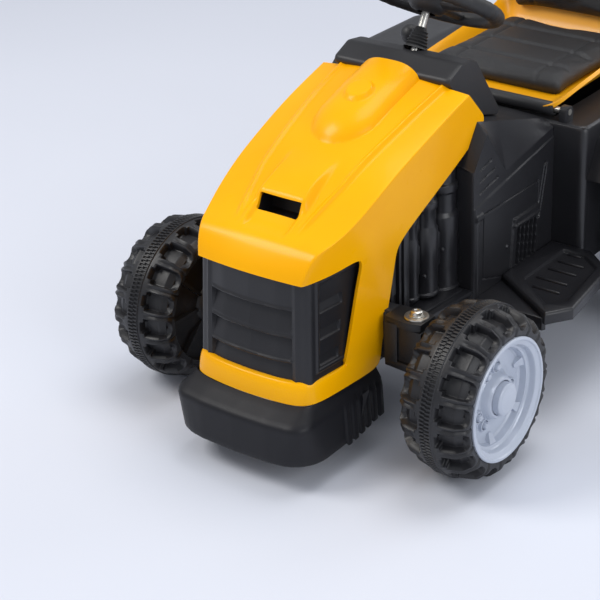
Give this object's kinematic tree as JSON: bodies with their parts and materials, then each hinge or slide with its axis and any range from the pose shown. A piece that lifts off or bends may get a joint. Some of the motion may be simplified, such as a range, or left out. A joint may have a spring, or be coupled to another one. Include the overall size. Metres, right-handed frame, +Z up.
{
  "type": "ride on digger",
  "caption": "Child's battery ride-on tractor digger: yellow hood, black body, steered front wheels, lifting seat and a hand-worked digging arm behind.",
  "frame": {"origin": "on the ground under the middle of the vehicle, halfway along its length", "axes": "+Z up, the vehicle faces -Y, its left side is +X"},
  "size_m": [0.552, 1.1102, 0.5483],
  "materials": {
    "yellow_plastic": "gloss",
    "grille_black": "satin",
    "bumper_black": "satin",
    "frame_black": "matt",
    "cowl_black": "satin",
    "dash_black": "satin",
    "engine_black": "satin",
    "tread_black": "satin",
    "zinc_steel": "bright zinc",
    "gauge_face": "printed",
    "red_plastic": "gloss",
    "bush_plastic": "matt",
    "wheel_grip": "satin",
    "motor_steel": "plain",
    "battery_case": "matt",
    "pedal_black": "satin",
    "seat_leather": "grained",
    "arm_black": "satin",
    "arm_yellow": "gloss",
    "bucket_black": "satin",
    "tyre_black": "satin",
    "silver_plastic": "satin silver"
  },
  "bodies": {
    "frame": {"hood_shell": "yellow_plastic", "grille": "grille_black", "front_bumper": "bumper_black", "chassis": "frame_black", "centre_cowl": "cowl_black", "rear_body": "cowl_black", "dashboard": "dash_black", "engine_side_left": "engine_black", "engine_side_right": "engine_black", "foot_plate_left": "tread_black", "foot_plate_right": "tread_black", "gauge": "gauge_face", "speaker_cover": "dash_black", "charge_socket": "dash_black", "column_bushes": "bush_plastic", "front_axle_beam": "frame_black", "kingpins": "zinc_steel", "rear_axle": "zinc_steel", "fender_left": "cowl_black", "fender_right": "cowl_black", "gearbox": "frame_black", "motor": "motor_steel", "battery": "battery_case", "pedal_pin": "zinc_steel", "pedal_spring": "zinc_steel", "seat_pin": "zinc_steel", "arm_bracket": "frame_black", "swing_pin": "zinc_steel"},
    "steering": {"steering_column": "zinc_steel", "steering_wheel": "wheel_grip"},
    "horn": {"horn_button": "yellow_plastic"},
    "power_switch": {"power_button": "red_plastic"},
    "music_switch": {"music_button": "yellow_plastic"},
    "shifter": {"shift_lever": "dash_black"},
    "left_knuckle": {"knuckle_left": "frame_black"},
    "right_knuckle": {"knuckle_right": "frame_black"},
    "steering_link": {"tie_rod": "frame_black"},
    "accelerator": {"pedal": "pedal_black"},
    "seat": {"seat_shell": "yellow_plastic", "seat_pad": "seat_leather", "back_pad": "seat_leather"},
    "post": {"swing_post": "arm_black", "boom_pin": "zinc_steel"},
    "boom_arm": {"boom": "arm_yellow", "stick_pin": "zinc_steel"},
    "stick_arm": {"stick": "arm_yellow", "bucket_pin": "zinc_steel"},
    "scoop": {"bucket": "bucket_black"},
    "front_left_wheel": {"tyre_front_left": "tyre_black", "rim_front_left": "silver_plastic", "hub_cap_front_left": "silver_plastic"},
    "front_right_wheel": {"tyre_front_right": "tyre_black", "rim_front_right": "silver_plastic", "hub_cap_front_right": "silver_plastic"},
    "rear_left_wheel": {"tyre_rear_left": "tyre_black", "rim_rear_left": "silver_plastic", "hub_cap_rear_left": "silver_plastic"},
    "rear_right_wheel": {"tyre_rear_right": "tyre_black", "rim_rear_right": "silver_plastic", "hub_cap_rear_right": "silver_plastic"}
  },
  "joints": [
    {"name": "steer", "type": "hinge", "parent": "frame", "child": "steering", "pos_m": [0, -0.14368, 0.47], "axis": [0, 0.515, 0.8572], "range_deg": [-45, 45]},
    {"name": "steer_left", "type": "hinge", "parent": "frame", "child": "left_knuckle", "pos_m": [0.137, -0.37612, 0.105], "axis": [0, 0, 1], "range_deg": [-23.7, 23.7]},
    {"name": "steer_right", "type": "hinge", "parent": "frame", "child": "right_knuckle", "pos_m": [-0.137, -0.37612, 0.105], "axis": [0, 0, 1], "range_deg": [-23.7, 23.7]},
    {"name": "link_swing", "type": "hinge", "parent": "left_knuckle", "child": "steering_link", "pos_m": [0.137, -0.31612, 0.121], "axis": [0, 0, 1], "range_deg": [-23.7, 23.7]},
    {"name": "spin_front_left", "type": "hinge", "parent": "left_knuckle", "child": "front_left_wheel", "pos_m": [0.217, -0.37612, 0.105], "axis": [1, 0, 0], "continuous": true},
    {"name": "spin_front_right", "type": "hinge", "parent": "right_knuckle", "child": "front_right_wheel", "pos_m": [-0.217, -0.37612, 0.105], "axis": [1, 0, 0], "continuous": true},
    {"name": "spin_rear_left", "type": "hinge", "parent": "frame", "child": "rear_left_wheel", "pos_m": [0.228, 0.12388, 0.14], "axis": [1, 0, 0], "continuous": true},
    {"name": "spin_rear_right", "type": "hinge", "parent": "frame", "child": "rear_right_wheel", "pos_m": [-0.228, 0.12388, 0.14], "axis": [1, 0, 0], "continuous": true},
    {"name": "pedal_press", "type": "hinge", "parent": "frame", "child": "accelerator", "pos_m": [-0.181, -0.11412, 0.149], "axis": [1, 0, 0], "range_deg": [0, 10], "stiffness_Nm_per_rad": 0.6, "springref_deg": -11.46},
    {"name": "shift", "type": "hinge", "parent": "frame", "child": "shifter", "pos_m": [-0.072, -0.08012, 0.32943], "axis": [1, 0, 0], "range_deg": [-14, 14]},
    {"name": "seat_lift", "type": "hinge", "parent": "frame", "child": "seat", "pos_m": [0, -0.02712, 0.314], "axis": [1, 0, 0], "range_deg": [0, 58]},
    {"name": "horn_press", "type": "slide", "parent": "steering", "child": "horn", "axis": [0, -0.515, -0.8572], "range_m": [0, 0.003], "stiffness_N_per_m": 400},
    {"name": "power_press", "type": "slide", "parent": "frame", "child": "power_switch", "axis": [0, -0.8246, -0.5657], "range_m": [0, 0.003], "stiffness_N_per_m": 400},
    {"name": "music_press", "type": "slide", "parent": "frame", "child": "music_switch", "axis": [0, -0.8246, -0.5657], "range_m": [0, 0.003], "stiffness_N_per_m": 400},
    {"name": "swing", "type": "hinge", "parent": "frame", "child": "post", "pos_m": [0, 0.31588, 0.23], "axis": [0, 0, 1], "range_deg": [-45, 45]},
    {"name": "boom_lift", "type": "hinge", "parent": "post", "child": "boom_arm", "pos_m": [0, 0.35988, 0.292], "axis": [1, 0, 0], "range_deg": [-50, 6]},
    {"name": "stick_reach", "type": "hinge", "parent": "boom_arm", "child": "stick_arm", "pos_m": [0, 0.46644, 0.53135], "axis": [1, 0, 0], "range_deg": [0, 70]},
    {"name": "scoop_curl", "type": "hinge", "parent": "stick_arm", "child": "scoop", "pos_m": [0, 0.52112, 0.31206], "axis": [1, 0, 0], "range_deg": [-20, 75]}
  ],
  "couplings": [
    {"joint": "steer_left", "follows": "steer", "ratio": 0.5249},
    {"joint": "steer_right", "follows": "steer", "ratio": 0.5249},
    {"joint": "link_swing", "follows": "steer", "ratio": -0.5249}
  ]
}
